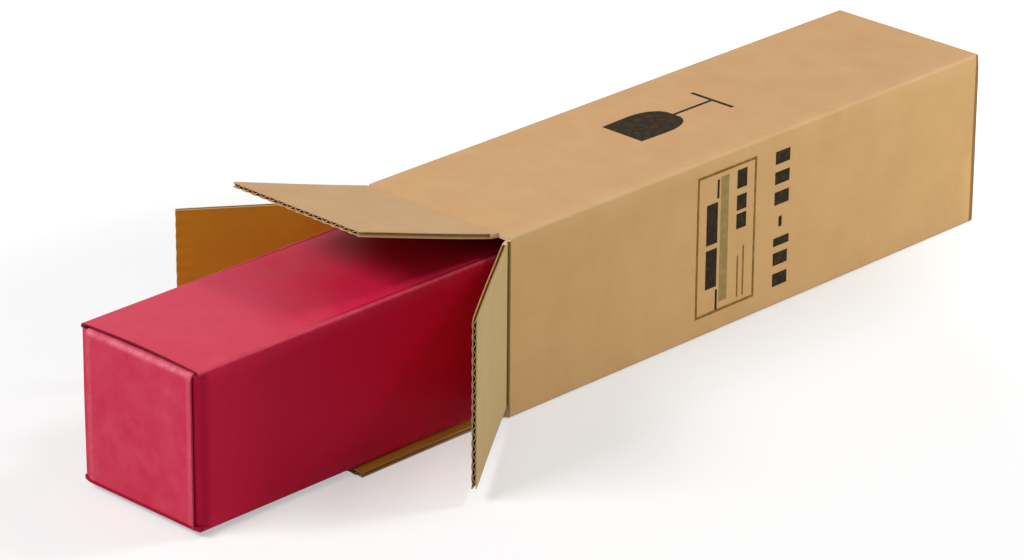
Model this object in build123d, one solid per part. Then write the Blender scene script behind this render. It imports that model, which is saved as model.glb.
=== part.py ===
"""Shipping box for one bottle, with the bottle's inner carton drawn part of the way out.

Millimetres. +X runs along the box from its open mouth to its closed end and +Z is up. Seen
from the mouth, the left side is +Y and the right side is -Y. The origin is the centre of the
box's bottom face.
"""

import os
from math import floor

from build123d import *

# Shipping box, folded from one sheet of corrugated board
box_length = 388.0
box_width = 106.0
box_height = 104.0
board = 3.0
fold_radius = 2.0
inner_fold_radius = 0.5

# Corrugated board: two liners with a fluted medium between them
liner = 0.45
medium = 0.35
flute_pitch = 6.5
flute_crest = 1.2
flute_root = 0.8

# Flaps at the mouth, cut apart by slots that stand off-centre from the corner folds
flap_length = 103.0
top_slot_width = 12.5
side_slot_width = 10.5
slot_shift = 3.0
slot_depth = 2.5
crease_length = 4.0
crease_board = 1.6
crease_gap = 0.3
top_flap_angle = 17.2
right_flap_angle = 35.6
left_flap_angle = 36.5

# Closed end and glued side joint
end_layers = 4
end_flap_gap = 2.0
joint_tab_width = 30.0
joint_tab_board = 2.0
seam_width = 0.5
seam_depth = 1.0

# Inner carton, of thin coated board, loose inside the box
carton_length = 370.0
carton_side_room = 6.0
carton_top_room = 9.7
carton_drawn_out = 209.0
carton_board = 1.5
carton_fold_radius = 1.8
carton_inner_radius = 0.3
seat_gap = 0.3

# Dust flaps and tuck lid at the carton's near end
dust_flaps_apart = 18.0
dust_flap_fold = 1.2
dust_flap_floor_gap = 1.0
dust_flap_top_gap = 4.0
lid_side_inset = 4.75
lid_gap = 0.3
lid_top_gap = 0.5
lid_fold_radius = 2.0
tongue_length = 18.0
tongue_angle = 6.0
tongue_corner = 10.0

# How far a cut runs past the material it removes
overrun = 1.0

# Places that follow from the sizes
mouth_x = -box_length / 2
end_x = box_length / 2
crease_radius = crease_board / 2
wall_start = crease_radius + crease_gap
half_board = board / 2
end_inner_x = end_x - end_layers * board
carton_x0 = mouth_x - carton_drawn_out
carton_x1 = carton_x0 + carton_length
carton_z0 = board + seat_gap
carton_top = box_height - board - carton_top_room
carton_width = box_width - 2 * (board + carton_side_room)
carton_height = carton_top - carton_z0
dust_flap_reach = (carton_width - dust_flaps_apart) / 2
lid_width = carton_width - 2 * lid_side_inset
half_card = carton_board / 2
lid_pivot_x = carton_x0 - lid_gap - half_card
lid_pivot_z = carton_z0 + half_card

# The walls in order round the box, with its size across each one and the width of its flap
walls = {
    "top": (box_height, box_width - top_slot_width),
    "right": (box_width, box_height - side_slot_width),
    "bottom": (box_height, box_width - top_slot_width),
    "left": (box_width, box_height - side_slot_width),
}


def on_wall(wall):
    """Frame on a wall's mouth crease, in the middle of its board, with +Z out of the box."""
    turn = 360 / len(walls) * list(walls).index(wall)
    across = walls[wall][0]
    return Pos(mouth_x, 0, box_height / 2) * Rot(X=turn) * Pos(Z=across / 2 - half_board)


def open_flutes(width):
    """Outlines of the gaps beside the medium, across a board with the given width."""
    face = half_board - liner
    tip = face - medium
    wide = (flute_pitch - flute_crest) / 2
    root = flute_root / 2
    count = floor(width / flute_pitch)
    outlines = []
    for index in range(count):
        middle = (index - (count - 1) / 2) * flute_pitch
        outlines.append(
            [(middle - wide, face), (middle + wide, face), (middle + root, -tip), (middle - root, -tip)]
        )
    for index in range(1, count):
        middle = (index - count / 2) * flute_pitch
        outlines.append(
            [(middle - wide, -face), (middle + wide, -face), (middle + root, tip), (middle - root, tip)]
        )
    last = count / 2 * flute_pitch
    past_edge = width / 2 + overrun
    for side in (-1, 1):
        outlines.append(
            [
                (side * (last - wide), -face),
                (side * (last - root), tip),
                (side * past_edge, tip),
                (side * past_edge, -face),
            ]
        )
    return outlines


def board_section(width):
    """Cut end of a corrugated board, width by thickness."""
    section = Rectangle(width, board)
    return section - [Polygon(*outline, align=None) for outline in open_flutes(width)]


def inner_half(distance):
    """Board left inside the crease line's middle, at a distance from the crease."""
    return crease_radius + (half_board - crease_radius) * distance / crease_length


def outer_half(distance):
    """Board left outside it, where the fold is pressed deeper so that a flap can swing back."""
    return half_board * distance / crease_length


def crease_taper(start, side):
    """Side view of the board thinning towards the crease, on the wall's side (1) or flap's (-1)."""
    return Polygon(
        (side * start, -inner_half(start)),
        (side * crease_length, -half_board),
        (side * crease_length, half_board),
        (side * start, outer_half(start)),
        align=None,
    )


def across_flap(wall, side_view):
    """Side view pulled out to the width of the wall's flap, at its place beside its slots."""
    width = walls[wall][-1]
    return Pos(Y=slot_shift) * extrude(Plane.XZ * side_view, width / 2, both=True)


def mouth_flap(wall):
    """Flap along -X from its crease at the origin, its outer face towards +Z."""
    taper = across_flap(wall, crease_taper(0, -1) + Circle(crease_radius))
    flat_length = flap_length - crease_length
    section = Plane.YZ.offset(-flap_length) * Pos(slot_shift) * board_section(walls[wall][-1])
    return taper + extrude(section, flat_length)


def hinged_flap(wall, opening):
    """Mouth flap on its wall, opened outwards by an angle from straight."""
    return on_wall(wall) * Rot(Y=opening) * mouth_flap(wall)


def box_outline(inset, radius):
    """Outline across the box, set in from its outside."""
    width = box_width - 2 * inset
    height = box_height - 2 * inset
    return Pos(0, box_height / 2) * RectangleRounded(width, height, radius)


def across_box(outline, start, end):
    """Outline across the box pulled out along X."""
    return extrude(Plane.YZ.offset(start) * outline, end - start)


def box_tube():
    """Four walls, with the slots' ends and the pressed creases at the mouth."""
    ring = box_outline(0, fold_radius) - box_outline(board, inner_fold_radius)
    tube = across_box(ring, mouth_x + slot_depth, end_x - board)
    for wall in walls:
        for face, step in ((half_board, outer_half(slot_depth)), (-half_board, -inner_half(slot_depth))):
            groove = Polygon(
                (slot_depth, step), (crease_length, face), (slot_depth, face), align=None
            )
            tube -= on_wall(wall) * across_flap(wall, groove)
    neck = crease_taper(wall_start, 1) & Pos(slot_depth / 2) * Rectangle(slot_depth, board)
    for wall in ("top", "right", "left"):
        tube += on_wall(wall) * across_flap(wall, neck)
    return tube


def bottom_flap():
    """Flap that lies straight out under the carton, joined to the bottom wall."""
    neck = crease_taper(0, 1) & Pos(slot_depth / 2) * Rectangle(slot_depth, board)
    return on_wall("bottom") * (mouth_flap("bottom") + across_flap("bottom", neck))


def outer_end_flap():
    """Flap folded down from the top wall over the closed end, flush with the walls."""
    section = Plane.XY * Pos(end_x - half_board) * Rot(Z=90) * board_section(box_width)
    plate = extrude(section, box_height - board)
    fold = Pos(end_x - half_board, 0, box_height - half_board) * Box(board, box_width, board)
    outer_edge = fold.edges().filter_by(Axis.Y).sort_by(Axis.X)[-2:].sort_by(Axis.Z)[-1]
    flap = plate + fillet(outer_edge, fold_radius)
    return flap & across_box(box_outline(0, fold_radius), end_x - board, end_x)


def inner_end_flaps():
    """Three more flaps, glued flat on each other inside the outer one."""
    inside_width = box_width - 2 * board
    inside_height = box_height - 2 * board
    depth = (end_layers - 1) * board
    stack = Pos(end_inner_x + depth / 2, 0, box_height / 2) * Box(depth, inside_width, inside_height)
    free_edge = Pos(
        end_inner_x + half_board, (end_flap_gap - inside_width) / 2, box_height / 2
    ) * Box(board, end_flap_gap, inside_height)
    return stack - free_edge


def joint_tab():
    """Tab of the bottom wall, glued up the inside of the left wall."""
    length = end_inner_x - mouth_x - crease_length
    middle_x = end_inner_x - length / 2
    middle_y = box_width / 2 - board - joint_tab_board / 2
    return Pos(middle_x, middle_y, board + joint_tab_width / 2) * Box(
        length, joint_tab_board, joint_tab_width
    )


def joint_seam():
    """Line outside, where the left wall's cut edge meets the bottom fold."""
    length = box_length - slot_depth - board
    middle_x = mouth_x + slot_depth + length / 2
    return Pos(middle_x, (box_width - seam_depth) / 2, board) * Box(length, seam_depth, seam_width)


def outer_box():
    """Shipping box without its hinged flaps: one folded and glued sheet."""
    body = box_tube() + bottom_flap() + inner_end_flaps() + joint_tab() - joint_seam()
    return body + outer_end_flap()


def carton_outline(inset, radius):
    """Outline across the carton, set in from its outside."""
    return Pos(0, carton_z0 + carton_height / 2) * RectangleRounded(
        carton_width - 2 * inset, carton_height - 2 * inset, radius
    )


def dust_flap(side):
    """Side wall's end and the dust flap folded in from it, seen from above and pulled up."""
    low = carton_z0 + carton_board + dust_flap_floor_gap
    high = carton_top - carton_board - dust_flap_top_gap
    outer_y = side * carton_width / 2
    depth = carton_fold_radius + carton_board
    wall = Pos(carton_x0 + depth / 2, outer_y - side * half_card) * Rectangle(depth, carton_board)
    flap = Pos(carton_x0 + half_card, outer_y - side * dust_flap_reach / 2) * Rectangle(
        carton_board, dust_flap_reach
    )
    corner = (wall + flap).vertices().sort_by(Axis.X)[:2].sort_by(lambda v: side * v.Y)[-1]
    return Pos(Z=low) * extrude(fillet(corner, dust_flap_fold), high - low)


def inner_carton():
    """Carton without its lid: a square tube with a closed far end and two dust flaps."""
    ring = carton_outline(0, carton_fold_radius) - carton_outline(carton_board, carton_inner_radius)
    tube = across_box(ring, carton_x0, carton_x1)
    end = across_box(carton_outline(0, carton_fold_radius), carton_x1 - carton_board, carton_x1)
    low = carton_z0 + carton_board + dust_flap_floor_gap
    high = carton_top - carton_board - dust_flap_top_gap
    depth = carton_fold_radius + carton_board
    room = Pos(carton_x0 + depth / 2, 0, (low + high) / 2) * Box(
        depth, carton_width + 2 * overrun, high - low
    )
    return tube - room + [dust_flap(side) for side in (-1, 1)] + end


def carton_lid():
    """End panel hinged at the bottom fold, and the tongue tucked under the top panel."""
    rise = carton_top - carton_board - lid_top_gap - half_card - lid_pivot_z
    spine = FilletPolyline(
        (0, 0),
        (0, rise),
        (0, rise) + Vector(tongue_length, 0).rotate(Axis.Z, -tongue_angle),
        radius=lid_fold_radius - half_card,
    )
    profile = make_face(offset(spine, half_card, side=Side.BOTH))
    lid = extrude(Plane.XZ * profile, lid_width / 2, both=True)
    tip_x = lid.bounding_box().max.X
    for side in (-1, 1):
        corner = Polygon(
            (tip_x - tongue_corner, side * lid_width / 2),
            (tip_x, side * (lid_width / 2 - tongue_corner)),
            (tip_x + overrun, side * (lid_width / 2 - tongue_corner)),
            (tip_x + overrun, side * (lid_width / 2 + overrun)),
            (tip_x - tongue_corner, side * (lid_width / 2 + overrun)),
            align=None,
        )
        lid -= Pos(Z=rise) * extrude(corner, tongue_corner, both=True)
    return Pos(lid_pivot_x, 0, lid_pivot_z) * lid


parts = {
    "outer_box": outer_box(),
    "top_flap": hinged_flap("top", top_flap_angle),
    "right_flap": hinged_flap("right", right_flap_angle),
    "left_flap": hinged_flap("left", left_flap_angle),
    "inner_carton": inner_carton(),
    "carton_lid": carton_lid(),
}

os.makedirs("parts", exist_ok=True)
for name, shape in parts.items():
    export_step(shape, f"parts/{name}.step")
    box = shape.bounding_box()
    print(name, len(shape.solids()), "solid", "from", box.min, "to", box.max)

for wall in ("top", "right", "left"):
    print(wall, "flap turns at", on_wall(wall).position)
print("lid turns at", (lid_pivot_x, 0, lid_pivot_z))
print("carton slides in by", end_inner_x - carton_x1, "and out by", carton_x1 - mouth_x)
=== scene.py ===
"""Shipping box for one bottle, with its coated inner carton drawn part of the way out.

The box is folded from one sheet of kraft corrugated board, whose flutes run along the box. Its
mouth flaps stand open. The carton inside is folded from thin board with a crimson coating, and
closes with a tuck lid. Lengths in the classes are in millimetres, and +X runs from the mouth to
the closed end. Wear, painted highlight, painted sheen and painted shade are shares from 0 for
none to 1.
"""

import logging
import math
from dataclasses import dataclass, field
from enum import Enum, IntEnum
from functools import partial
from typing import Any, Callable, Iterable, Sequence

import bmesh
import bpy
from mathutils import Matrix, Vector, noise


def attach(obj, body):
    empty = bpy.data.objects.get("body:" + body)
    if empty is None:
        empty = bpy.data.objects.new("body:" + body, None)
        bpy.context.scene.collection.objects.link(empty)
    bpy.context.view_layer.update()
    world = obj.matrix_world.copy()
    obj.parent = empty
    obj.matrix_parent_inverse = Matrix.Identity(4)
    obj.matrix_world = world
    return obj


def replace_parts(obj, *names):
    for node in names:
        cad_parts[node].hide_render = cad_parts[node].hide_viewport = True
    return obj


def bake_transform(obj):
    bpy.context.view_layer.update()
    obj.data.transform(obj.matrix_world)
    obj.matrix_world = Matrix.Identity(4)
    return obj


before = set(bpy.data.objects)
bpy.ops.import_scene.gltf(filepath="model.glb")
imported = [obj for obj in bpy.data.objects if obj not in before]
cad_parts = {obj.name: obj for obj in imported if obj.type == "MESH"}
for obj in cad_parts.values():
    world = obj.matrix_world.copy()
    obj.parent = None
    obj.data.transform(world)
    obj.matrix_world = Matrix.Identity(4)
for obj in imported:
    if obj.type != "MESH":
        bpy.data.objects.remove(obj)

MM = 0.001
LOG = logging.getLogger("bottle_box")
Shape = Callable[[float, float], Vector]
Place = tuple[float, float]
Bar = tuple[Place, Place]
# Setting of a Mix node that mixes colours.
COLOURS = {"data_type": "RGBA"}
# Share of a normal along an axis, past which its face looks that way.
FACING = 0.7
# Room for rounding when places are compared, and how near points are merged where a mesh is cut
# and where it is finished, in millimetres.
ROOM = 0.1
MERGE = 0.01
FINE_MERGE = 0.002
# How far one step of a seed moves a noise's pattern along each axis.
SEED_STEP = (17.3, -9.1, 5.7)


def smooth_step(value: float) -> float:
    """Return 0 below 0, 1 above 1 and a smooth rise between them."""
    value = min(max(value, 0.0), 1.0)
    return value * value * (3 - 2 * value)


def wander(seed: float, *place: float) -> float:
    """Return smooth noise from -1 to 1 at a place, the same on each run.

    Args:
        seed: Picks one of many unlike patterns.
        place: One to three coordinates, in units of the pattern's size.

    Returns:
        The noise at that place.
    """
    whole = (*place, 0.0, 0.0)[:3]
    return noise.noise(Vector([value + step * seed for value, step in zip(whole, SEED_STEP)]))


@dataclass(frozen=True)
class Patches:
    """Amount that swings smoothly about its middle, in patches with a size in millimetres."""

    seed: float
    sizes: tuple[float, ...]
    middle: float = 1.0
    swing: float = 1.0

    def at(self, *place: float, seed: float = 0.0) -> float:
        """Return the amount at a place.

        Args:
            place: One coordinate for each size.
            seed: Added to the patches' own seed.

        Returns:
            The amount, no further from its middle than its swing.
        """
        place = tuple(value / size for value, size in zip(place, self.sizes))
        return self.middle + self.swing * wander(self.seed + seed, *place)


def linear(colour: str) -> tuple[float, float, float, float]:
    """Turn an sRGB hex colour into the linear colour that a shader takes.

    Args:
        colour: Six hex digits, with or without a leading #.

    Returns:
        Linear red, green, blue and an alpha of 1.
    """
    digits = colour.lstrip("#")
    channels = []
    for start in (0, 2, 4):
        value = int(digits[start : start + 2], 16) / 255
        channels.append(value / 12.92 if value <= 0.04045 else ((value + 0.055) / 1.055) ** 2.4)
    return (channels[0], channels[1], channels[2], 1.0)


def set_inputs(
    tree: bpy.types.NodeTree, node: bpy.types.Node, inputs: dict[str | int, Any]
) -> None:
    """Give a node's inputs their values, or link them to what feeds them.

    Args:
        tree: The node's tree.
        node: The node.
        inputs: A value, an output or a node for each input named or numbered here. A node
            stands for the first of its outputs that is in use.
    """
    for key, value in inputs.items():
        if isinstance(value, bpy.types.Node):
            value = next(output for output in value.outputs if output.enabled)
        if isinstance(value, bpy.types.NodeSocket):
            tree.links.new(value, node.inputs[key])
        else:
            node.inputs[key].default_value = value


def add_node(
    tree: bpy.types.NodeTree,
    kind: str,
    settings: dict[str, Any] | None = None,
    inputs: dict[str | int, Any] | None = None,
) -> bpy.types.Node:
    """Add a shader node with its settings and its inputs.

    Args:
        tree: The node tree that gets the node.
        kind: The node's type, without the leading ShaderNode.
        settings: Values of the node's own properties.
        inputs: What its inputs are set to or fed by.

    Returns:
        The new node.
    """
    made = tree.nodes.new("ShaderNode" + kind)
    for name, value in (settings or {}).items():
        setattr(made, name, value)
    set_inputs(tree, made, inputs or {})
    return made


def start_material(
    name: str,
) -> tuple[bpy.types.Material, bpy.types.NodeTree, bpy.types.NodeSocket]:
    """Start a material whose patterns follow the piece's own coordinates.

    Args:
        name: The material's name.

    Returns:
        The material, its node tree, and the output that gives the coordinates.
    """
    material = bpy.data.materials.new(name)
    material.use_nodes = True
    tree = material.node_tree
    return material, tree, add_node(tree, "TexCoord").outputs["Object"]


def finish_material(
    material: bpy.types.Material, inputs: dict[str | int, Any]
) -> bpy.types.Material:
    """Set a material's shader.

    Args:
        material: The material.
        inputs: What the shader's inputs are set to or fed by.

    Returns:
        The same material.
    """
    set_inputs(material.node_tree, material.node_tree.nodes["Principled BSDF"], inputs)
    return material


def slice_along(bm: bmesh.types.BMesh, axis: int, places: Iterable[float]) -> None:
    """Cut a mesh across one axis, so that it can bend there.

    Args:
        bm: The mesh.
        axis: 0, 1 or 2 for X, Y or Z.
        places: Where to cut, in millimetres along the axis.
    """
    normal = Vector((0, 0, 0))
    normal[axis] = 1
    for place in places:
        geom = bm.verts[:] + bm.edges[:] + bm.faces[:]
        bmesh.ops.bisect_plane(
            bm, geom=geom, dist=MERGE * MM, plane_co=normal * (place * MM), plane_no=normal
        )
    bmesh.ops.remove_doubles(bm, verts=bm.verts, dist=MERGE * MM)


def round_edges(
    bm: bmesh.types.BMesh, edges: list[bmesh.types.BMEdge], radius: float, segments: int
) -> None:
    """Round edges, as board rounds at a fold.

    Args:
        bm: The mesh.
        edges: The edges.
        radius: In millimetres.
        segments: Divisions of the rounding.
    """
    bmesh.ops.bevel(
        bm, geom=edges, offset=radius * MM, segments=segments, profile=0.5,
        affect="EDGES", material=-1,
    )


def add_tube(bm: bmesh.types.BMesh, low: Sequence[float], high: Sequence[float]) -> None:
    """Add a box that is open at its lowest x.

    Args:
        bm: The mesh that gets it.
        low: Its lowest corner, in millimetres.
        high: Its highest corner.
    """
    add_block(bm, low, high)
    mouth = [face for face in bm.faces if face.calc_center_median().x < (low[0] + ROOM) * MM]
    bmesh.ops.delete(bm, geom=mouth, context="FACES")


def verts_of(geom: Iterable[Any]) -> list[bmesh.types.BMVert]:
    """Return the vertices among what an operator has made."""
    return [item for item in geom if isinstance(item, bmesh.types.BMVert)]


def placed(place: Sequence[float], degrees: float, axis: str) -> Matrix:
    """Return a turn about the origin and then a move.

    Args:
        place: The move, in millimetres.
        degrees: The turn.
        axis: "X", "Y" or "Z", which it turns about.

    Returns:
        The two as one matrix.
    """
    return Matrix.Translation(Vector(place) * MM) @ Matrix.Rotation(math.radians(degrees), 4, axis)


def evenly(start: float, end: float, count: int) -> list[float]:
    """Return the places that divide a stretch into count equal parts, without its ends."""
    return [start + (end - start) * index / count for index in range(1, count)]


def add_block(
    bm: bmesh.types.BMesh, low: Sequence[float], high: Sequence[float]
) -> list[bmesh.types.BMVert]:
    """Add a box between two corners given in millimetres.

    Args:
        bm: The mesh that gets it.
        low: Its lowest corner.
        high: Its highest corner.

    Returns:
        The box's vertices.
    """
    middle = [(a + b) / 2 * MM for a, b in zip(low, high)]
    size = [(b - a) * MM for a, b in zip(low, high)]
    place = Matrix.Translation(middle) @ Matrix.Diagonal((*size, 1))
    return bmesh.ops.create_cube(bm, size=1.0, matrix=place)["verts"]


def add_sheet(
    bm: bmesh.types.BMesh,
    rows: int,
    columns: int,
    shape: Shape,
    thickness: float,
    materials: tuple[int, int, int],
) -> None:
    """Add a thin closed sheet that follows a shape.

    Args:
        bm: The mesh that gets it.
        rows: Divisions along the shape's first share.
        columns: Divisions along its second share.
        shape: Gives the middle of the sheet, in metres, from two shares between 0 and 1.
        thickness: In metres.
        materials: Material numbers of the first side, the other side and the cut rim.
    """
    made = bmesh.ops.create_grid(bm, x_segments=rows, y_segments=columns, size=1.0)["verts"]
    for vert in made:
        vert.co = shape((vert.co.x + 1) / 2, (vert.co.y + 1) / 2)
    first = list({face for vert in made for face in vert.link_faces})
    bm.normal_update()
    for vert in made:
        vert.co += vert.normal * thickness / 2
    grown = bmesh.ops.solidify(bm, geom=first, thickness=thickness)["geom"]
    old = set(made)
    for face in first:
        face.material_index = materials[0]
    for face in (item for item in grown if isinstance(item, bmesh.types.BMFace)):
        count = sum(vert in old for vert in face.verts)
        if count not in (0, len(face.verts)):
            face.material_index = materials[2]
        elif count == 0:
            face.material_index = materials[1]


def make_piece(
    name: str,
    bm: bmesh.types.BMesh,
    materials: Sequence[bpy.types.Material],
    sharp: float = 35.0,
) -> bpy.types.Object:
    """Turn a mesh into a finished object at the origin.

    Args:
        name: The piece's name.
        bm: Its mesh, which is freed.
        materials: Its material slots, in order.
        sharp: Edges that turn by more than this many degrees stay crisp.

    Returns:
        The object, linked to the scene.
    """
    bmesh.ops.remove_doubles(bm, verts=bm.verts, dist=FINE_MERGE * MM)
    bmesh.ops.recalc_face_normals(bm, faces=bm.faces)
    for face in bm.faces:
        face.smooth = True
    for edge in bm.edges:
        edge.smooth = edge.is_manifold and edge.calc_face_angle(0.0) < math.radians(sharp)
    mesh = bpy.data.meshes.new(name)
    bm.to_mesh(mesh)
    bm.free()
    for material in materials:
        mesh.materials.append(material)
    piece = bpy.data.objects.new(name, mesh)
    bpy.context.scene.collection.objects.link(piece)
    LOG.info("%s: %d faces", name, len(mesh.polygons))
    return piece


def thicken(piece: bpy.types.Object, thickness: float, inner: int, rim: int) -> bpy.types.Object:
    """Give an open shell its thickness, inwards from the faces that it has.

    Args:
        piece: The shell.
        thickness: In millimetres.
        inner: How many material slots further on the inside's material is.
        rim: How many slots further on the cut rim's material is.

    Returns:
        The same piece.
    """
    solid = piece.modifiers.new("board", "SOLIDIFY")
    solid.thickness = thickness * MM
    solid.offset = -1
    solid.use_even_offset = True
    solid.use_quality_normals = True
    solid.material_offset = inner
    solid.material_offset_rim = rim
    return piece


class Across(Enum):
    """Which way the flutes' ridges follow one another on a surface, square to the flutes."""

    Y = 1
    Z = 2


@dataclass(frozen=True)
class KraftLiner:
    """Unbleached kraft liner of corrugated board.

    Long wood fibres give a warm tan face with a fine grain and cloudy patches, and the flutes
    under it telegraph through as faint ridges. It is paler where it is rubbed, and darker where
    painted shade lies in a crease.
    """

    across: Across
    name: str = "kraft_liner"
    pale: str = "#D1A676"
    deep: str = "#CA9E6E"
    worn: str = "#DDBD94"
    fibre: str = "#A97E50"
    # Colour of the painted shade in the flaps' creases.
    crease: str = "#75602A"
    # Real fibres are some 0.03 mm wide, too fine to draw, so the grain is drawn coarser.
    fibre_width: float = 0.7
    fibre_length: float = 3.5
    cloud_size: float = 22.0
    flute_pitch: float = 6.5
    # Height of the flutes' ridges beside the grain's, and the depth of the whole relief.
    flute_share: float = 0.10
    relief: float = 0.12

    def build(self) -> bpy.types.Material:
        """Make the liner.

        Returns:
            The finished material.
        """
        material, tree, place = start_material(f"{self.name}_{self.across.name.lower()}")
        stretch = [1 / (self.fibre_width * MM)] * 3
        stretch[self.across.value] = 1 / (self.fibre_length * MM)
        along = add_node(tree, "Mapping", inputs={"Vector": place, "Scale": stretch})
        grain = add_node(
            tree, "TexNoise",
            inputs={"Vector": along, "Scale": 1.0, "Detail": 3.0, "Roughness": 0.6},
        )
        scale = 1 / (self.cloud_size * MM)
        cloud = add_node(
            tree, "TexNoise",
            inputs={"Vector": place, "Scale": scale, "Detail": 3.0, "Roughness": 0.55},
        )
        both = add_node(tree, "Math", {"operation": "MULTIPLY_ADD"}, {0: grain, 1: 0.5, 2: cloud})
        shade = add_node(tree, "MapRange", inputs={"Value": both, "From Min": 0.5, "From Max": 1.0})
        ends = {6: linear(self.deep), 7: linear(self.pale)}
        colour = add_node(tree, "Mix", COLOURS, {0: shade, **ends})
        fleck = add_node(
            tree, "MapRange",
            inputs={"Value": grain, "From Min": 0.66, "From Max": 0.78, "To Max": 0.35},
        )
        colour = add_node(tree, "Mix", COLOURS, {0: fleck, 6: colour, 7: linear(self.fibre)})
        wear = add_node(tree, "Attribute", {"attribute_name": "wear"}).outputs["Fac"]
        rubbed = add_node(tree, "Math", {"operation": "MULTIPLY"}, {0: wear, 1: cloud})
        colour = add_node(tree, "Mix", COLOURS, {0: rubbed, 6: colour, 7: linear(self.worn)})
        # Painted shade in the creases.
        crease = add_node(tree, "Attribute", {"attribute_name": "crease"}).outputs["Fac"]
        colour = add_node(tree, "Mix", COLOURS, {0: crease, 6: colour, 7: linear(self.crease)})
        axes = add_node(tree, "SeparateXYZ", inputs={0: place}).outputs
        turns = {0: axes[self.across.value], 1: 2 * math.pi / (self.flute_pitch * MM)}
        turn = add_node(tree, "Math", {"operation": "MULTIPLY"}, turns)
        ridge = add_node(tree, "Math", {"operation": "SINE"}, {0: turn})
        parts = {0: ridge, 1: self.flute_share, 2: grain}
        height = add_node(tree, "Math", {"operation": "MULTIPLY_ADD"}, parts)
        bump = add_node(
            tree, "Bump", inputs={"Strength": 0.35, "Distance": self.relief * MM, "Height": height}
        )
        inputs = {"Base Color": colour, "Normal": bump}
        return finish_material(material, {**inputs, "Roughness": 0.82, "Specular IOR Level": 0.3})


@dataclass(frozen=True)
class CutKraft:
    """Cut edge and fluting medium of corrugated board: open torn fibres, darker and rough."""

    name: str
    pale: str
    deep: str
    # Torn fibres are far finer than this, and are drawn coarser so that they show at all.
    fibre_size: float = 0.6
    relief: float = 0.15

    def build(self) -> bpy.types.Material:
        """Make the torn fibres.

        Returns:
            The finished material.
        """
        material, tree, place = start_material(self.name)
        scale = 1 / (self.fibre_size * MM)
        grain = add_node(tree, "TexNoise", inputs={"Vector": place, "Scale": scale, "Detail": 4.0})
        ends = {6: linear(self.deep), 7: linear(self.pale)}
        colour = add_node(tree, "Mix", COLOURS, {0: grain, **ends})
        relief = {"Strength": 0.6, "Distance": self.relief * MM, "Height": grain}
        inputs = {"Base Color": colour, "Normal": add_node(tree, "Bump", inputs=relief)}
        return finish_material(material, {**inputs, "Roughness": 0.9, "Specular IOR Level": 0.2})


@dataclass(frozen=True)
class CoatedBoard:
    """Folding boxboard with a printed and varnished crimson face.

    The varnish gives a soft satin sheen over a deep even red, slightly mottled. It is paler along
    the folds, where rub wear and a painted highlight are mixed, paler where a painted sheen stands
    in for the varnish's reflection, and darker where painted shade falls in grooves, gaps and
    folds.
    """

    pale: str = "#CB0A3C"
    deep: str = "#C40738"
    # Pale pink of the rub wear, the painted highlight and the painted sheen.
    worn: str = "#EE93A4"
    # Dark red of the painted shade in grooves, gaps and folds.
    groove: str = "#5A0418"
    mottle_size: float = 14.0
    rub_size: float = 4.5
    # The varnish's own grain is about 0.2 mm, drawn coarser so that it shows at all.
    press_size: float = 0.9
    relief: float = 0.1

    def build(self) -> bpy.types.Material:
        """Make the coated face.

        Returns:
            The finished material.
        """
        material, tree, place = start_material("crimson_coated_board")
        scale = 1 / (self.mottle_size * MM)
        mottle = add_node(
            tree, "TexNoise",
            inputs={"Vector": place, "Scale": scale, "Detail": 4.0, "Roughness": 0.6},
        )
        ends = {6: linear(self.deep), 7: linear(self.pale)}
        colour = add_node(tree, "Mix", COLOURS, {0: mottle, **ends})
        scale = 1 / (self.rub_size * MM)
        rub = add_node(
            tree, "TexNoise",
            inputs={"Vector": place, "Scale": scale, "Detail": 3.0, "Roughness": 0.65},
        )
        patch = add_node(tree, "MapRange", inputs={"Value": rub, "From Min": 0.2, "From Max": 0.75})
        # Rub wear with a painted highlight along the folds, with painted sheen mixed over it.
        wear = add_node(tree, "Attribute", {"attribute_name": "wear"}).outputs["Fac"]
        rubbed = add_node(tree, "Math", {"operation": "MULTIPLY"}, {0: wear, 1: patch})
        painted_sheen_mask = add_node(tree, "Attribute", {"attribute_name": "painted_sheen_mask"}).outputs["Fac"]
        parts = {0: painted_sheen_mask, 1: mottle, 2: rubbed}
        wear_and_painted_sheen = add_node(tree, "Math", {"operation": "MULTIPLY_ADD"}, parts)
        colour = add_node(tree, "Mix", COLOURS, {0: wear_and_painted_sheen, 6: colour, 7: linear(self.worn)})
        # Painted shade in grooves, gaps and folds.
        crease = add_node(tree, "Attribute", {"attribute_name": "crease"}).outputs["Fac"]
        colour = add_node(tree, "Mix", COLOURS, {0: crease, 6: colour, 7: linear(self.groove)})
        scale = 1 / (self.press_size * MM)
        press = add_node(tree, "TexNoise", inputs={"Vector": place, "Scale": scale, "Detail": 2.0})
        height = add_node(
            tree, "Math", {"operation": "MULTIPLY_ADD"}, {0: mottle, 1: 3.0, 2: press}
        )
        bump = add_node(
            tree, "Bump", inputs={"Strength": 0.25, "Distance": self.relief * MM, "Height": height}
        )
        sheen = {"From Min": 0.3, "From Max": 0.7, "To Min": 0.40, "To Max": 0.52}
        rough = add_node(tree, "MapRange", inputs={"Value": mottle, **sheen})
        inputs = {"Base Color": colour, "Normal": bump, "Roughness": rough}
        return finish_material(material, {**inputs, "Specular IOR Level": 0.13})


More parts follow.
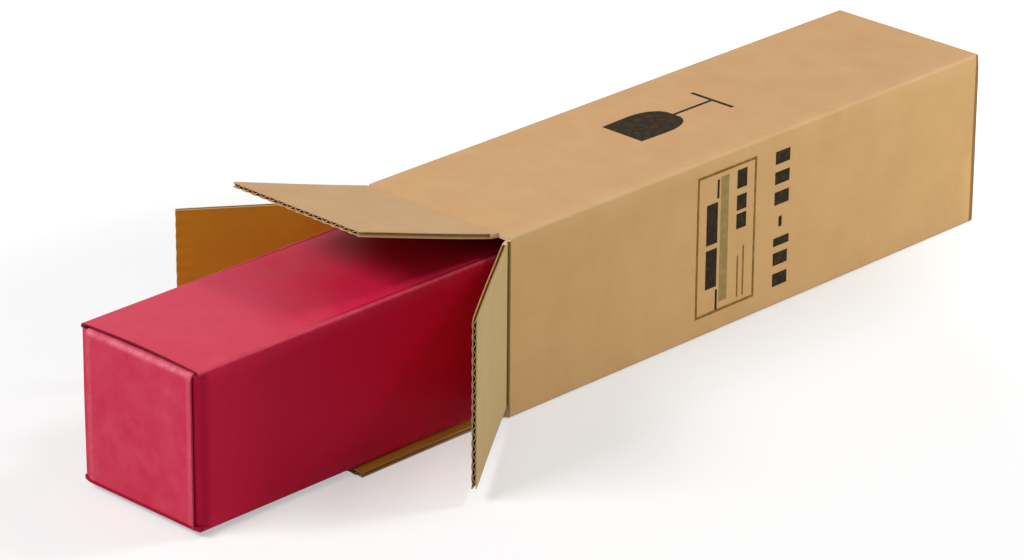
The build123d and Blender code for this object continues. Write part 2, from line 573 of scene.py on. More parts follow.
@dataclass(frozen=True)
class Ink:
    """Flexographic ink on kraft: matt, a little uneven, with the board's tan showing through."""

    name: str
    solid: str
    thin: str
    patch_size: float = 4.0

    def build(self) -> bpy.types.Material:
        """Make the ink.

        Returns:
            The finished material.
        """
        material, tree, place = start_material(self.name)
        scale = 1 / (self.patch_size * MM)
        patch = add_node(tree, "TexNoise", inputs={"Vector": place, "Scale": scale, "Detail": 3.0})
        thins = {"From Min": 0.45, "From Max": 0.85}
        fade = add_node(tree, "MapRange", inputs={"Value": patch, **thins})
        ends = {6: linear(self.solid), 7: linear(self.thin)}
        colour = add_node(tree, "Mix", COLOURS, {0: fade, **ends})
        inputs = {"Base Color": colour, "Roughness": 0.85, "Specular IOR Level": 0.1}
        return finish_material(material, inputs)


def made_of(finish: Any) -> bpy.types.Material:
    """Return a dataclass field whose material a finish builds."""
    return field(default_factory=finish.build)


@dataclass
class Finishes:
    """Every material of the box, made once and shared."""

    flat: bpy.types.Material = made_of(KraftLiner(Across.Y))
    side: bpy.types.Material = made_of(KraftLiner(Across.Z, pale="#D4AA70", deep="#CDA268"))
    # The flaps' outer liner: darker copies of the walls' kraft, as painted shade.
    flap_flat: bpy.types.Material = made_of(
        KraftLiner(Across.Y, "flap_liner_painted_shade", "#C8A278", "#C19B71")
    )
    flap_side: bpy.types.Material = made_of(
        KraftLiner(Across.Z, "flap_liner_painted_shade", "#B79C6B", "#B09564")
    )
    # The inside: the same kraft painted darker and orange, as painted shade with a painted warm
    # bounce from the crimson carton.
    flat_inside: bpy.types.Material = made_of(
        KraftLiner(Across.Y, "inner_liner_painted_shade", "#B5862E", "#A87A28")
    )
    side_inside: bpy.types.Material = made_of(
        KraftLiner(Across.Z, "inner_liner_painted_shade", "#D08B1A", "#C68017")
    )
    cut: bpy.types.Material = made_of(CutKraft("kraft_cut_edge", "#C9A67C", "#A67F55"))
    # Pale cut edges at the mouth and the creases' ends, as painted light.
    crushed: bpy.types.Material = made_of(CutKraft("kraft_edge_painted_light", "#E6CBA2", "#CFAE82"))
    medium: bpy.types.Material = made_of(CutKraft("kraft_fluting_medium", "#A5804F", "#7F5E36"))
    crimson: bpy.types.Material = made_of(CoatedBoard())
    grey_back: bpy.types.Material = made_of(CutKraft("boxboard_grey_back", "#C9C0B4", "#A89F94"))
    # The carton's cut edges are painted dark crimson, as painted shade along the lid's gaps.
    crimson_cut: bpy.types.Material = made_of(CutKraft("boxboard_cut_edge_painted_shade", "#A01D38", "#7A1028"))
    ink: bpy.types.Material = made_of(Ink("dark_brown_ink", "#2E261B", "#4B3B25"))
    pale_ink: bpy.types.Material = made_of(Ink("pale_brown_ink", "#86612B", "#A8834A"))
    wash: bpy.types.Material = made_of(Ink("olive_wash_ink", "#9C8250", "#B0945F"))


class BoardSlot(IntEnum):
    """Material slots of a corrugated piece, in order."""

    OUTER = 0
    CUT = 1
    MEDIUM = 2
    INNER = 3
    WALL = 4
    # Pale cut edges at the creases' ends, as painted light.
    CRUSHED = 5


@dataclass
class CorrugatedSheet:
    """Piece of corrugated board: two liners with a fluted medium between them.

    It is made lying along -X from x = 0 with its outer liner up and its flutes along X.
    """

    length: float
    width: float
    board: float = 3.0
    liner: float = 0.45
    medium: float = 0.42
    flute_pitch: float = 6.5
    # How deep the liner dips between crests, inside the sheet and at its free cut edge, and how
    # far in the edge's share of it reaches.
    ridge: float = 0.07
    edge_ridge: float = 0.4
    edge_reach: float = 3.0
    # How uneven the cut is, how far the sheet is warped, and how much of that is a plain lean.
    ragged: float = 0.14
    warp: float = 0.35
    lean: float = 0.25
    seed: float = 1.0
    warps: Patches = Patches(0, (60, 50), 0.7, 0.5)
    liner_fray: Patches = Patches(0, (3.1,))
    medium_fray: Patches = Patches(3, (1.7,), 1.4)
    # Share of the fray that the liner has on the flutes' crests too.
    crest_fray: float = 0.4
    # Divisions along the sheet, and across each flute.
    rows: int = 24
    medium_rows: int = 8
    liner_divisions: int = 4
    medium_divisions: int = 12

    def bow(self, s: float, t: float) -> float:
        """Return how far the whole sheet has warped inwards at a place.

        Args:
            s: Distance from the sheet's start, in millimetres.
            t: Distance from its middle line.

        Returns:
            The warp, in millimetres.
        """
        share = s / self.length
        hump = math.sin(math.pi * min(share, 1.0))
        hump *= self.warps.at(s, t, seed=self.seed)
        return self.warp * (hump + self.lean * share)

    def near_edge(self, s: float) -> float:
        """Return 1 at the free cut edge, falling to 0 inside it."""
        return math.exp(-(self.length - s) / self.edge_reach)

    def wave(self, t: float) -> float:
        """Return the flutes' wave at a distance from the middle line, from -1 to 1."""
        return math.sin(2 * math.pi * t / self.flute_pitch)

    def liner_shape(self, side: int, u: float, v: float) -> Vector:
        """Return the middle of one liner, whose face dips between the flutes' crests.

        Args:
            side: 1 for the outer liner and -1 for the inner one.
            u: Share of the sheet's length.
            v: Share of its width.

        Returns:
            The place, in metres.
        """
        s = self.length * u
        t = self.width * (v - 0.5)
        edge = self.near_edge(s)
        dip = 0.5 - 0.5 * side * self.wave(t)
        depth = self.ridge + (self.edge_ridge - self.ridge) * edge
        n = side * (self.board / 2 - self.liner / 2 - depth * dip) - self.bow(s, t)
        fray = self.liner_fray.at(t, seed=self.seed + side)
        s -= edge * self.ragged * fray * (self.crest_fray + dip)
        return Vector((-s, t, n)) * MM

    def medium_shape(self, u: float, v: float) -> Vector:
        """Return the middle of the wavy medium.

        Args:
            u: Share of the sheet's length.
            v: Share of its width.

        Returns:
            The place, in metres.
        """
        s = self.length * u
        t = self.width * (v - 0.5)
        height = self.board / 2 - self.liner - self.medium / 2
        n = height * self.wave(t) - self.bow(s, t)
        fray = self.medium_fray.at(t, seed=self.seed)
        s -= self.near_edge(s) * self.ragged * fray
        return Vector((-s, t, n)) * MM

    def build(self) -> bmesh.types.BMesh:
        """Make the two liners and the medium.

        Returns:
            The sheet's mesh, with its faces numbered as BoardSlot says.
        """
        bm = bmesh.new()
        columns = round(self.liner_divisions * self.width / self.flute_pitch)
        for side, face in ((1, BoardSlot.OUTER), (-1, BoardSlot.INNER)):
            shape = partial(self.liner_shape, side)
            add_sheet(bm, self.rows, columns, shape, self.liner * MM, (face, face, BoardSlot.CUT))
        columns = round(self.medium_divisions * self.width / self.flute_pitch)
        slots = (BoardSlot.MEDIUM,) * 3
        add_sheet(bm, self.medium_rows, columns, self.medium_shape, self.medium * MM, slots)
        return bm


class WallSlot(IntEnum):
    """Material slots of the walls' faces. Two further on are their insides."""

    FLAT = 0
    SIDE = 1
    # Cut edges of the closed end, given the dark fluting medium as painted shade.
    END_EDGE = 6


class Wall(Enum):
    """Walls of the box, each with its turn about X from the top one."""

    TOP = 0
    RIGHT = 90
    BOTTOM = 180
    LEFT = 270

    @property
    def lies_flat(self) -> bool:
        """Whether the wall is the top or the bottom one."""
        return self.value % 180 == 0


@dataclass
class MouthFlap:
    """Flap at the box's mouth, opened outwards, and the pressed crease that it hangs on."""

    wall: Wall
    opening: float
    across: float
    slot_width: float
    seed: float
    # Depth of the crease on the outside, in millimetres, and how dark the painted shade
    # in it is there.
    valley: float = 0.7
    crease_shade: float = 0.5
    body: str = "box"
    node: str = "outer_box"
    mouth_x: float = -194.0
    middle_z: float = 52.0
    wall_length: float = 104.0
    length: float = 103.0
    board: float = 3.0
    # How far the flap stands off the middle of its wall, because one slot is the wider.
    shift: float = 3.0
    # How far the crease reaches into flap and wall, and half of the stretch that bends.
    crease_reach: float = 4.0
    wall_reach: float = 2.5
    bend: float = 0.8
    # Depth of the crease on the inside, and how steeply both sides fall to their middle.
    valley_inside: float = 0.45
    valley_slope: float = 1.5
    # Middle and reach of the crease's painted shade, how sharply it ends, and how dark it is
    # inside.
    shade_middle: float = 0.8
    shade_reach: float = 1.6
    shade_slope: int = 4
    shade_inside: float = 0.4
    # How uneven the crushed board is.
    crumple: float = 0.12
    crumples: Patches = Patches(5, (2, 4))
    cuts: tuple[float, ...] = (-3.2, -2.4, -1.7, -1.1, -0.6, -0.2, 0.2, 0.6, 1.1, 1.8)
    columns: int = 30

    @property
    def width(self) -> float:
        """Flap's width between its slots."""
        return self.wall_length - self.slot_width

    @property
    def on_wall(self) -> Matrix:
        """Place of the crease, in the middle of the wall's board, with +Z out of the box."""
        turned = placed((self.mouth_x, 0, self.middle_z), self.wall.value, "X")
        out = Vector((0, self.shift, self.across / 2 - self.board / 2)) * MM
        return turned @ Matrix.Translation(out)

    def finishes(self, made: Finishes) -> list[bpy.types.Material]:
        """Return the flap's materials.

        Args:
            made: The box's materials.

        Returns:
            One for each member of BoardSlot.
        """
        if self.wall.lies_flat:
            outer, inner, wall = made.flap_flat, made.flat_inside, made.flat
        else:
            outer, inner, wall = made.flap_side, made.side_inside, made.side
        return [outer, made.cut, made.medium, inner, wall, made.crushed]

    def build_board(self, made: Finishes) -> bpy.types.Object:
        """Make the flap itself.

        Args:
            made: The box's materials.

        Returns:
            The finished piece, riding on its body.
        """
        bm = CorrugatedSheet(self.length - self.crease_reach, self.width, seed=self.seed).build()
        turn = Matrix.Rotation(math.radians(self.opening), 4, "Y")
        place = self.on_wall @ turn @ Matrix.Translation((-self.crease_reach * MM, 0, 0))
        bmesh.ops.transform(bm, matrix=place, verts=bm.verts)
        piece = make_piece(f"{self.wall.name.lower()}_flap_board", bm, self.finishes(made))
        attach(piece, self.body)
        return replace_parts(piece, self.node)

    def half_thickness(self, x: float, side: int) -> float:
        """Return half of the board near the crease.

        Args:
            x: Distance from the crease, positive on the wall's side.
            side: 1 outside and -1 inside.

        Returns:
            Half thickness in millimetres.
        """
        reach = self.wall_reach if x > 0 else self.crease_reach
        depth = self.valley if side > 0 else self.valley_inside
        fall = (1 - smooth_step(abs(x) / reach)) ** self.valley_slope
        return self.board / 2 - depth * fall

    def build_crease(self, made: Finishes) -> bpy.types.Object:
        """Make the crushed board between wall and flap, bent to the flap's opening.

        Args:
            made: The box's materials.

        Returns:
            The finished piece.
        """
        bm = bmesh.new()
        half = self.width / 2
        add_block(bm, (-self.crease_reach, -half, -1), (self.wall_reach, half, 1))
        slice_along(bm, 0, self.cuts)
        slice_along(bm, 1, evenly(-half, half, self.columns))
        crease = bm.verts.layers.float.new("crease")
        for vert in bm.verts:
            x, t = vert.co.x / MM, vert.co.y / MM
            side = 1 if vert.co.z > 0 else -1
            inside = max(1 - abs(x) / self.crease_reach, 0)
            thick = self.half_thickness(x, side)
            thick -= self.crumple * inside * self.crumples.at(x, t, seed=self.seed)
            vert.co.z = side * thick * MM
            # Painted shade in the crease, darkest a little way onto the wall.
            away = (x - self.shade_middle) / self.shade_reach
            pressed = math.exp(-(away ** self.shade_slope))
            vert[crease] = pressed * (self.crease_shade if side > 0 else self.shade_inside)
        bm.normal_update()
        for face in bm.faces:
            # The crease's cut ends get the pale edge, as painted light.
            if abs(face.normal.y) > FACING:
                face.material_index = BoardSlot.CRUSHED
            elif face.calc_center_median().z < 0:
                face.material_index = BoardSlot.INNER
            elif face.calc_center_median().x > 0:
                face.material_index = BoardSlot.WALL
        for vert in bm.verts:
            share = smooth_step((self.bend - vert.co.x / MM) / (2 * self.bend))
            vert.co = Matrix.Rotation(math.radians(self.opening * share), 3, "Y") @ vert.co
        bmesh.ops.transform(bm, matrix=self.on_wall, verts=bm.verts)
        piece = make_piece(f"{self.wall.name.lower()}_flap_crease", bm, self.finishes(made))
        if self.body == "box":
            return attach(piece, "box")
        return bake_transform(piece)


@dataclass
class ShippingBox:
    """The box's four walls, closed end, glued joint tab and mouth flaps."""

    length: float = 388.0
    width: float = 106.0
    height: float = 104.0
    board: float = 3.0
    fold_radius: float = 2.0
    far_fold_radius: float = 1.6
    slot_depth: float = 2.5
    top_slot_width: float = 12.5
    side_slot_width: float = 10.5
    crease_length: float = 4.0
    # Closed end: four glued flaps, the gap beside the innermost one, and their clearances.
    end_layers: int = 4
    end_gap: float = 2.0
    glue_gap: float = 0.05
    end_clearance: float = 0.15
    stack_clearance: float = 0.4
    # How far the outermost of them stands in from the side walls at its top, the share of that at
    # its bottom, and the strip along each side that moves with it.
    edge_inset: float = 0.5
    low_inset: float = 0.25
    edge_strip: float = 0.6
    seam_line: float = 0.3
    joint_tab_width: float = 30.0
    joint_tab_board: float = 2.0
    joint_tab_liner: float = 0.35
    joint_tab_medium: float = 0.3
    joint_tab_clearance: float = 0.5
    # How far the walls have sunk, and how far from each end they stay straight.
    sink: float = 0.35
    mouth_stiffness: float = 40.0
    end_stiffness: float = 30.0
    dents: Patches = Patches(8, (70, 50, 50), 0.6, 0.5)
    wear_reach: float = 1.6
    rubs: Patches = Patches(4, (9, 30, 30), 0.7, 0.5)
    fold_segments: int = 5
    far_segments: int = 4
    columns: int = 36
    rows: int = 12
    stack_rows: int = 4

    def flaps(self) -> list[MouthFlap]:
        """List the four mouth flaps, opened as they stand.

        Returns:
            Top, right, left and bottom flap.
        """
        flat = {"across": self.height, "wall_length": self.width}
        side = {"across": self.width, "wall_length": self.height}
        flat["slot_width"] = self.top_slot_width
        side["slot_width"] = self.side_slot_width
        # Each flap has its own strength of painted shade in its crease.
        top = {"seed": 1.0, "valley": 0.16, "crease_shade": 0.04, "body": "top_flap"}
        right = {"seed": 2.0, "valley": 1.0, "crease_shade": 0.95, "body": "right_flap"}
        left = {"seed": 3.0, "valley": 0.9, "crease_shade": 0.7, "body": "left_flap"}
        return [
            MouthFlap(Wall.TOP, 17.2, **flat, **top, node="top_flap"),
            MouthFlap(Wall.RIGHT, 35.6, **side, **right, node="right_flap"),
            MouthFlap(Wall.LEFT, 36.5, **side, **left, node="left_flap"),
            MouthFlap(Wall.BOTTOM, 0.0, **flat, seed=4.0, valley=0.3, crease_shade=0.3),
        ]

    def sag(self, place: Vector) -> Vector:
        """Return how far the outside of the walls has sunk between the folds.

        Args:
            place: A point on the wall, in metres.

        Returns:
            The move, in metres, towards the inside.
        """
        x, y, z = (value / MM for value in place)
        half = self.width / 2
        middle = self.height / 2
        along = smooth_step((x + self.length / 2) / self.mouth_stiffness)
        along *= smooth_step((self.length / 2 - x) / self.end_stiffness)
        move = Vector((0, 0, 0))
        across_top = max(0.0, math.cos(math.pi / 2 * y / half))
        across_side = max(0.0, math.cos(math.pi / 2 * (z - middle) / middle))
        patch = self.dents.at(x, y, z)
        if z > self.height - self.board:
            move.z = -self.sink * across_top * along * patch
        if abs(y) > half - self.board:
            move.y = -math.copysign(self.sink, y) * across_side * along * patch
        return move * MM

    def build_walls(self, made: Finishes) -> bpy.types.Object:
        """Make the four walls and the outer flap of the closed end.

        Args:
            made: The box's materials.

        Returns:
            The finished piece.
        """
        bm = bmesh.new()
        start = self.slot_depth - self.length / 2
        end = self.length / 2
        half = self.width / 2
        radius = self.fold_radius
        add_tube(bm, (start, -half, 0), (end, half, self.height))
        folds = [edge for edge in bm.edges if abs(edge.verts[0].co.x - edge.verts[1].co.x) > MM]
        round_edges(bm, folds, radius, self.fold_segments)
        low, high = (end - ROOM) * MM, (self.height - radius - ROOM) * MM
        far = [e for e in bm.edges if all(v.co.x > low and v.co.z > high for v in e.verts)]
        round_edges(bm, far, self.far_fold_radius, self.far_segments)
        seam = end - self.board
        slice_along(bm, 0, evenly(start, seam, self.columns) + [seam - self.seam_line, seam])
        slice_along(bm, 1, evenly(-half + radius, half - radius, self.rows))
        slice_along(bm, 2, evenly(radius, self.height - radius, self.rows))
        for vert in bm.verts:
            vert.co += self.sag(vert.co)
        self.inset_end_flap(bm)
        bmesh.ops.recalc_face_normals(bm, faces=bm.faces)
        self.paint_walls(bm, seam)
        finishes = [made.flat, made.side, made.flat_inside, made.side_inside]
        # The mouth's cut rim gets the pale edge as painted light, and the far end's edges the dark
        # medium as painted shade.
        finishes += [made.crushed, made.crushed, made.medium]
        return self.dress(thicken(make_piece("box_walls", bm, finishes), self.board, 2, 4))

    def inset_end_flap(self, bm: bmesh.types.BMesh) -> None:
        """Set the closed end's flap a little in from the side walls, so that its cut edge shows.

        Args:
            bm: The walls' mesh.
        """
        seam = (self.length / 2 - self.board - ROOM) * MM
        for vert in bm.verts:
            if vert.co.x > seam and abs(vert.co.y) > (self.width / 2 - self.edge_strip) * MM:
                share = smooth_step(vert.co.z / (self.height * MM))
                inset = self.edge_inset * (self.low_inset + (1 - self.low_inset) * share) * MM
                vert.co.y -= math.copysign(inset, vert.co.y)

    def paint_walls(self, bm: bmesh.types.BMesh, seam: float) -> None:
        """Give each face its liner or cut edge, and mark the folds' wear.

        Args:
            bm: The walls' mesh.
            seam: Where the closed end's outer flap begins, in millimetres.
        """
        wear = bm.verts.layers.float.new("wear")
        half = self.width / 2
        for vert in bm.verts:
            x, y, z = (value / MM for value in vert.co)
            from_fold = max(half - abs(y), min(z, self.height - z))
            corner = math.exp(-from_fold / self.wear_reach)
            vert[wear] = min(1.0, corner * self.rubs.at(x, y, z))
        for face in bm.faces:
            centre = face.calc_center_median() / MM
            beside = abs(face.normal.y) > FACING
            edge = beside and abs(centre.y) > half - self.board / 2
            under = face.normal.z < -FACING and centre.z < self.board / 3
            # The closed end's cut edges are painted dark, as painted shade.
            if centre.x > seam and (edge or under):
                face.material_index = WallSlot.END_EDGE
            else:
                face.material_index = WallSlot.SIDE if beside else WallSlot.FLAT

    def build_end_stack(self, made: Finishes) -> bpy.types.Object:
        """Make the three flaps glued flat inside the closed end's outer one.

        Args:
            made: The box's materials.

        Returns:
            The finished piece.
        """
        bm = bmesh.new()
        tall = self.height - 2 * self.board - 2 * self.end_clearance
        wide = self.width - 2 * self.board - self.stack_clearance
        for index in range(1, self.end_layers):
            x = self.length / 2 - (index + 0.5) * self.board - self.glue_gap
            narrow = self.end_gap if index == self.end_layers - 1 else self.stack_clearance
            layer = CorrugatedSheet(
                tall, wide - narrow, seed=10.0 + index, warp=0, rows=self.stack_rows
            ).build()
            place = placed((x, narrow / 2, self.board + self.end_clearance), 90, "Y")
            bmesh.ops.transform(layer, matrix=place, verts=layer.verts)
            mesh = bpy.data.meshes.new("layer")
            layer.to_mesh(mesh)
            layer.free()
            bm.from_mesh(mesh)
            bpy.data.meshes.remove(mesh)
        finishes = [made.flat, made.cut, made.medium, made.flat_inside]
        return self.dress(make_piece("box_end_stack", bm, finishes))

    def build_joint_tab(self, made: Finishes) -> bpy.types.Object:
        """Make the bottom wall's tab, glued up the inside of the left wall.

        Args:
            made: The box's materials.

        Returns:
            The finished piece.
        """
        board, tab = self.joint_tab_board, self.joint_tab_width
        start = self.crease_length - self.length / 2
        end = self.length / 2 - self.end_layers * self.board - 2 * self.end_clearance
        bm = CorrugatedSheet(
            end - start, tab - self.joint_tab_clearance, board=board, liner=self.joint_tab_liner,
            medium=self.joint_tab_medium, seed=15.0, warp=0,
        ).build()
        y = self.width / 2 - self.board - board / 2 - 2 * self.glue_gap
        place = placed((end, y, self.board + tab / 2), 90, "X")
        bmesh.ops.transform(bm, matrix=place, verts=bm.verts)
        finishes = [made.side, made.cut, made.medium, made.side_inside]
        return self.dress(make_piece("box_joint_tab", bm, finishes))

    def dress(self, piece: bpy.types.Object) -> bpy.types.Object:
        """Set a piece of the box on its body and slot.

        Args:
            piece: The piece.

        Returns:
            The same piece.
        """
        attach(piece, "box")
        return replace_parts(piece, "outer_box")

    def build(self, made: Finishes) -> list[bpy.types.Object]:
        """Make every piece of the box.

        Args:
            made: The box's materials.

        Returns:
            Walls, end stack, joint tab, flaps and creases.
        """
        pieces = [self.build_walls(made), self.build_end_stack(made), self.build_joint_tab(made)]
        for flap in self.flaps():
            pieces += [flap.build_board(made), flap.build_crease(made)]
        return pieces


class CartonSlot(IntEnum):
    """Material slots of the carton's board."""

    FACE = 0
    BACK = 1
    CUT = 2


@dataclass
class InnerCarton:
    """Square carton of coated board with two dust flaps behind its lid."""

    start: float = -403.0
    length: float = 370.0
    width: float = 88.0
    height: float = 88.0
    floor: float = 3.3
    board: float = 1.0
    fold_radius: float = 1.8
    # Dust flaps: how softly each is folded, how far they reach across the mouth, how much is cut
    # off below and above them, and how they lean inwards, at first and at each further step.
    right_fold: float = 7.0
    left_fold: float = 1.8
    flap_reach: float = 35.0
    flap_low: float = 1.85
    flap_high: float = 2.6
    flap_lean: float = 0.25
    flap_lean_step: float = 0.12
    flap_turns: int = 6
    flap_steps: int = 5
    # How the top panel bows up near the lid and is hollow further in, and how the side walls
    # bulge, here out and there in.
    bow_height: float = 1.35
    bow_reach: float = 45.0
    hollow: float = 0.3
    hollow_reach: float = 80.0
    hollows: Patches = Patches(21, (60, 30))
    bulge: float = 0.25
    bulges: Patches = Patches(23, (80, 60), -0.4)
    # How near a panel's face a point is that moves with it.
    skin: float = 0.5
    # Groove pressed along each side of the top panel, which begins some way in.
    groove_inset: float = 3.0
    groove_depth: float = 0.35
    groove_width: float = 0.6
    groove_start: float = 70.0
    groove_rise: float = 60.0
    groove_rub: float = 0.55
    groove_shade_left: float = 0.2
    groove_shade_right: float = 0.75
    # Rub wear with a painted highlight along the folds, at the lid's end and what is added
    # further in.
    wear_reach: float = 1.7
    wear_start: float = 60.0
    wear_rise: float = 60.0
    wear_and_highlight_near: float = 0.14
    wear_and_highlight_far: float = 0.26
    rubs: Patches = Patches(31, (7, 20, 20), 0.8, 0.5)
    # Painted sheen on the top panel, in place of the varnish's reflection, and a painted highlight
    # on the dust flaps; what the top loses further in, how deep the top's rounded edges and the
    # flaps' faces lie, and how softly the painted sheen ends there.
    painted_sheen: float = 0.24
    sheen_loss: float = 0.8
    sheen_fade: float = 70.0
    top_edge: float = 1.2
    sheen_edge: float = 2.2
    sheen_rise: float = 0.8
    flap_face: float = 3.6
    flap_rise: float = 2.0
    # Shade in the gap beside the lid, and how far in it goes.
    gap_shade: float = 0.28
    gap_reach: float = 4.0
    # Margins of the panels that are cut evenly, at the far end and along the sides.
    end_margin: float = 4.0
    side_margin: float = 5.0
    fold_segments: int = 5
    columns: int = 30
    rows: int = 12
    near_cuts: tuple[float, ...] = (4, 10, 13, 17, 23, 30, 38, 47)
    groove_cuts: tuple[float, ...] = (-1.2, -0.8, -0.4, 0, 0.4, 0.8)

    @property
    def top(self) -> float:
        """Height of the top panel."""
        return self.floor + self.height

    def swell(self, place: Vector) -> Vector:
        """Return how a point on the outside has moved from a true square tube.

        Args:
            place: The point, in metres.

        Returns:
            The move, in metres.
        """
        x, y, z = (value / MM for value in place)
        half = self.width / 2
        middle = self.floor + self.height / 2
        flat = max(0.0, math.cos(math.pi / 2 * y / half))
        tall = max(0.0, math.cos(math.pi / 2 * (z - middle) / (self.height / 2)))
        from_end = x - self.start
        move = Vector((0, 0, 0))
        if z > self.top - self.skin:
            move.z += self.bow_height * flat * math.exp(-((from_end / self.bow_reach) ** 2))
            hollow = smooth_step(from_end / self.hollow_reach) * self.hollows.at(x, y)
            move.z -= self.hollow * flat * hollow
            groove = smooth_step((from_end - self.groove_start) / self.groove_rise)
            for edge in (-1, 1):
                offset = (y - edge * (half - self.groove_inset)) / self.groove_width
                move.z -= self.groove_depth * groove * math.exp(-(offset ** 2))
        if abs(y) > half - self.skin:
            move.y += math.copysign(self.bulge * tall * self.bulges.at(x, z), y)
        return move * MM

    def fold_in_dust_flaps(self, bm: bmesh.types.BMesh) -> None:
        """Extrude the side walls' ends round a soft fold and across the carton's mouth.

        Args:
            bm: The carton's open tube.
        """
        half = self.width / 2
        low, high = self.floor + self.flap_low, self.top - self.flap_high
        for side, fold in ((-1, self.right_fold), (1, self.left_fold)):
            hinge = (self.start + fold) * MM
            corners = [
                face for face in bm.faces
                if face.calc_center_median().x < hinge
                and side * face.normal.y > FACING
                and low * MM < face.calc_center_median().z < high * MM
            ]
            bmesh.ops.delete(bm, geom=corners, context="FACES")
            edges = [
                edge for edge in bm.edges
                if edge.is_boundary
                and all(side * v.co.y > 0 and abs(v.co.x - hinge) < ROOM * MM for v in edge.verts)
            ]
            centre = Vector((self.start + fold, side * (half - fold), 0)) * MM
            turn = Matrix.Rotation(math.radians(side * 90 / self.flap_turns), 3, "Z")
            for _ in range(self.flap_turns):
                edges, verts = self.extrude(bm, edges)
                bmesh.ops.rotate(bm, cent=centre, matrix=turn, verts=verts)
            run = -side * (self.flap_reach - fold) / self.flap_steps
            for step in range(self.flap_steps):
                edges, verts = self.extrude(bm, edges)
                move = Vector((self.flap_lean + self.flap_lean_step * step, run, 0)) * MM
                bmesh.ops.translate(bm, vec=move, verts=verts)

    @staticmethod
    def extrude(
        bm: bmesh.types.BMesh, edges: list[bmesh.types.BMEdge]
    ) -> tuple[list[bmesh.types.BMEdge], list[bmesh.types.BMVert]]:
        """Extrude edges in place.

        Args:
            bm: The mesh.
            edges: Edges on its border.

        Returns:
            The new edges and their vertices.
        """
        geom = bmesh.ops.extrude_edge_only(bm, edges=edges)["geom"]
        verts = verts_of(geom)
        new = set(verts)
        made = [
            item for item in geom
            if isinstance(item, bmesh.types.BMEdge) and all(v in new for v in item.verts)
        ]
        return made, verts

    def build(self, made: Finishes) -> bpy.types.Object:
        """Make the carton without its lid.

        Args:
            made: The box's materials.

        Returns:
            The finished piece.
        """
        bm = bmesh.new()
        half = self.width / 2
        end = self.start + self.length
        add_tube(bm, (self.start, -half, self.floor), (end, half, self.top))
        corners = [edge for edge in bm.edges if not edge.is_boundary]
        round_edges(bm, corners, self.fold_radius, self.fold_segments)
        near = [self.start + cut for cut in (self.left_fold, self.right_fold, *self.near_cuts)]
        slice_along(bm, 0, near + evenly(near[-1], end - self.end_margin, self.columns))
        lines = [half - self.groove_inset + cut for cut in self.groove_cuts]
        even = evenly(self.side_margin - half, half - self.side_margin, self.rows)
        slice_along(bm, 1, even + lines + [-line for line in lines])
        low, high = self.floor + self.flap_low, self.top - self.flap_high
        slice_along(bm, 2, [low, high] + evenly(low, high, self.rows))
        for vert in bm.verts:
            vert.co += self.swell(vert.co)
        self.fold_in_dust_flaps(bm)
        bmesh.ops.recalc_face_normals(bm, faces=bm.faces)
        self.paint(bm)
        piece = make_piece("carton_shell", bm, [made.crimson, made.grey_back, made.crimson_cut])
        thicken(piece, self.board, CartonSlot.BACK, CartonSlot.CUT)
        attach(piece, "carton")
        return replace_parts(piece, "inner_carton")

    def paint(self, bm: bmesh.types.BMesh) -> None:
        """Mark where the coating is rubbed with a painted highlight, where painted sheen lies, and
        where painted shade falls.

        Args:
            bm: The carton's open shell.
        """
        half = self.width / 2
        wear = bm.verts.layers.float.new("wear")
        crease = bm.verts.layers.float.new("crease")
        painted_sheen_mask = bm.verts.layers.float.new("painted_sheen_mask")
        for vert in bm.verts:
            x, y, z = (value / MM for value in vert.co)
            from_end = x - self.start
            from_edge = max(half - abs(y), min(z - self.floor, self.top - z), 0)
            # Rub wear along the folds with a painted highlight, stronger further in.
            corner = math.exp(-from_edge / self.wear_reach)
            along = smooth_step((from_end - self.wear_start) / self.wear_rise)
            amount = corner * (self.wear_and_highlight_near + self.wear_and_highlight_far * along)
            vert[wear] = min(max(amount * self.rubs.at(x, y, z), 0.0), 1.0)
            if z < self.top - self.top_edge:
                # Dust flaps: painted highlight on their faces by the lid, and painted shade in the
                # gap beside the lid on the right.
                from_fold = y + half - self.right_fold
                flap = smooth_step(from_fold / self.flap_rise)
                flap *= smooth_step((self.flap_face - from_end) / self.flap_rise)
                gap = 1 - smooth_step((from_fold + self.flap_rise) / self.flap_rise)
                gap *= smooth_step((self.right_fold - from_end) / self.gap_reach)
                vert[painted_sheen_mask] = self.painted_sheen * flap
                vert[crease] = self.gap_shade * gap
            else:
                # Top panel: painted sheen that fades further in, and painted shade along its
                # grooves.
                fade = smooth_step((from_end - self.wear_start) / self.sheen_fade)
                flat = smooth_step((z - self.top + self.sheen_edge) / self.sheen_rise)
                vert[painted_sheen_mask] = self.painted_sheen * (1 - self.sheen_loss * fade) * flat
                offset = (abs(y) - (half - self.groove_inset)) / self.groove_rub
                shade = self.groove_shade_left if y > 0 else self.groove_shade_right
                vert[crease] = shade * along * math.exp(-(offset ** 2))


